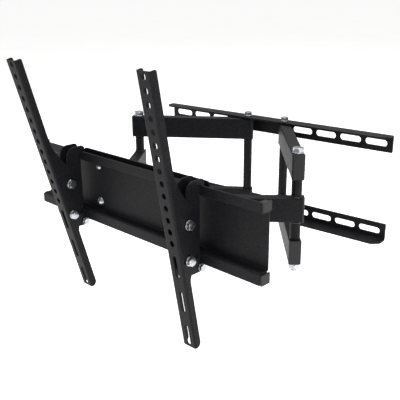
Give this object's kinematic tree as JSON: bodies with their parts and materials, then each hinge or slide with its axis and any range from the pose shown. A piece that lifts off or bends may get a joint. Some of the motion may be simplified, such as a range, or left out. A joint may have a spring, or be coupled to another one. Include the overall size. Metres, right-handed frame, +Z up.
{
  "type": "full motion tv wall mount",
  "caption": "Full motion TV wall mount: slotted wall rails, twin folding arms, wide TV plate with hook-on brackets and tilting slotted rails.",
  "frame": {"origin": "centre of the wall frame, on the plane of the wall", "axes": "+X to the right along the wall, +Y into the wall, +Z up; the TV side faces -Y"},
  "size_m": [0.5625, 0.4222, 0.435],
  "materials": {
    "painted_steel": "black powder coat with a fine grain",
    "zinc_steel": "bright zinc plated steel",
    "black_plastic": "black moulded plastic"
  },
  "bodies": {
    "wall_frame": {"upper_wall_rail": "painted_steel", "lower_wall_rail": "painted_steel", "left_upper_wall_pivot_bolt": "zinc_steel", "left_lower_wall_pivot_bolt": "zinc_steel", "right_upper_wall_pivot_bolt": "zinc_steel", "right_lower_wall_pivot_bolt": "zinc_steel"},
    "left_wall_arm": {"left_upper_wall_link": "painted_steel", "left_upper_wall_link_wall_cap": "black_plastic", "left_upper_wall_link_elbow_cap": "black_plastic", "left_upper_elbow_spacer": "painted_steel", "left_lower_wall_link": "painted_steel", "left_lower_wall_link_wall_cap": "black_plastic", "left_lower_wall_link_elbow_cap": "black_plastic", "left_lower_elbow_spacer": "painted_steel", "left_post": "painted_steel", "left_elbow_axle": "zinc_steel", "left_elbow_nut": "zinc_steel"},
    "left_front_arm": {"left_front_link": "painted_steel", "left_front_link_elbow_cap": "black_plastic", "left_front_link_carrier_cap": "black_plastic"},
    "right_wall_arm": {"right_upper_wall_link": "painted_steel", "right_upper_wall_link_wall_cap": "black_plastic", "right_upper_wall_link_elbow_cap": "black_plastic", "right_upper_elbow_spacer": "painted_steel", "right_lower_wall_link": "painted_steel", "right_lower_wall_link_wall_cap": "black_plastic", "right_lower_wall_link_elbow_cap": "black_plastic", "right_lower_elbow_spacer": "painted_steel", "right_post": "painted_steel", "right_elbow_axle": "zinc_steel", "right_elbow_nut": "zinc_steel"},
    "right_front_arm": {"right_front_link": "painted_steel", "right_front_link_elbow_cap": "black_plastic", "right_front_link_carrier_cap": "black_plastic"},
    "carrier": {"carrier_plate": "painted_steel", "left_carrier_pivot_bolt": "zinc_steel", "left_carrier_pivot_nut": "zinc_steel", "left_upper_level_bolt": "zinc_steel", "left_lower_level_bolt": "zinc_steel", "right_carrier_pivot_bolt": "zinc_steel", "right_carrier_pivot_nut": "zinc_steel", "right_upper_level_bolt": "zinc_steel", "right_lower_level_bolt": "zinc_steel"},
    "tv_plate_assembly": {"tv_plate": "painted_steel", "right_upper_plate_cap": "black_plastic", "left_upper_plate_cap": "black_plastic", "right_lower_plate_cap": "black_plastic", "left_lower_plate_cap": "black_plastic"},
    "left_bracket": {"left_hook_bracket": "painted_steel", "left_tilt_pivot_bolt": "zinc_steel", "left_tilt_lock_bolt": "zinc_steel", "left_safety_bolt": "zinc_steel"},
    "left_tv_rail_body": {"left_tv_rail": "painted_steel"},
    "right_bracket": {"right_hook_bracket": "painted_steel", "right_tilt_pivot_bolt": "zinc_steel", "right_tilt_lock_bolt": "zinc_steel", "right_safety_bolt": "zinc_steel"},
    "right_tv_rail_body": {"right_tv_rail": "painted_steel"}
  },
  "joints": [
    {"name": "extension", "type": "hinge", "parent": "wall_frame", "child": "left_wall_arm", "pos_m": [-0.041, -0.0165, 0], "axis": [0, 0, 1], "range_deg": [-32, 12]},
    {"name": "left_elbow", "type": "hinge", "parent": "left_wall_arm", "child": "left_front_arm", "pos_m": [-0.22228, -0.13022, 0], "axis": [0, 0, 1], "range_deg": [-33, 88]},
    {"name": "left_carrier_pivot", "type": "hinge", "parent": "left_front_arm", "child": "carrier", "pos_m": [-0.12137, -0.27927, 0], "axis": [0, 0, 1], "range_deg": [-51.5, 19.5]},
    {"name": "right_wall_pivot", "type": "hinge", "parent": "wall_frame", "child": "right_wall_arm", "pos_m": [0.041, -0.0165, 0], "axis": [0, 0, 1], "range_deg": [-19.5, 51.5]},
    {"name": "right_elbow", "type": "hinge", "parent": "right_wall_arm", "child": "right_front_arm", "pos_m": [0.17412, -0.18406, 0], "axis": [0, 0, 1], "range_deg": [-87.5, 33]},
    {"name": "plate_level", "type": "hinge", "parent": "carrier", "child": "tv_plate_assembly", "pos_m": [-0.04889, -0.32076, 0], "axis": [0.0741, 0.9973, 0], "range_deg": [-1.5, 1.5]},
    {"name": "left_bracket_slide", "type": "slide", "parent": "tv_plate_assembly", "child": "left_bracket", "axis": [0.9973, -0.0741, 0], "range_m": [-0.085, 0.1]},
    {"name": "left_tilt", "type": "hinge", "parent": "left_bracket", "child": "left_tv_rail_body", "pos_m": [-0.20033, -0.33457, 0.0075], "axis": [0.9973, -0.0741, 0], "range_deg": [-18, 0.5]},
    {"name": "right_bracket_slide", "type": "slide", "parent": "tv_plate_assembly", "child": "right_bracket", "axis": [0.9973, -0.0741, 0], "range_m": [-0.09, 0.095]},
    {"name": "right_tilt", "type": "hinge", "parent": "right_bracket", "child": "right_tv_rail_body", "pos_m": [0.08887, -0.35606, 0.0075], "axis": [0.9973, -0.0741, 0], "range_deg": [-13, 5.5]}
  ],
  "couplings": [
    {"joint": "left_elbow", "follows": "extension", "ratio": -2.7362},
    {"joint": "left_carrier_pivot", "follows": "extension", "ratio": 1.6005},
    {"joint": "right_wall_pivot", "follows": "extension", "ratio": -1.5978},
    {"joint": "right_elbow", "follows": "extension", "ratio": 2.7322}
  ]
}
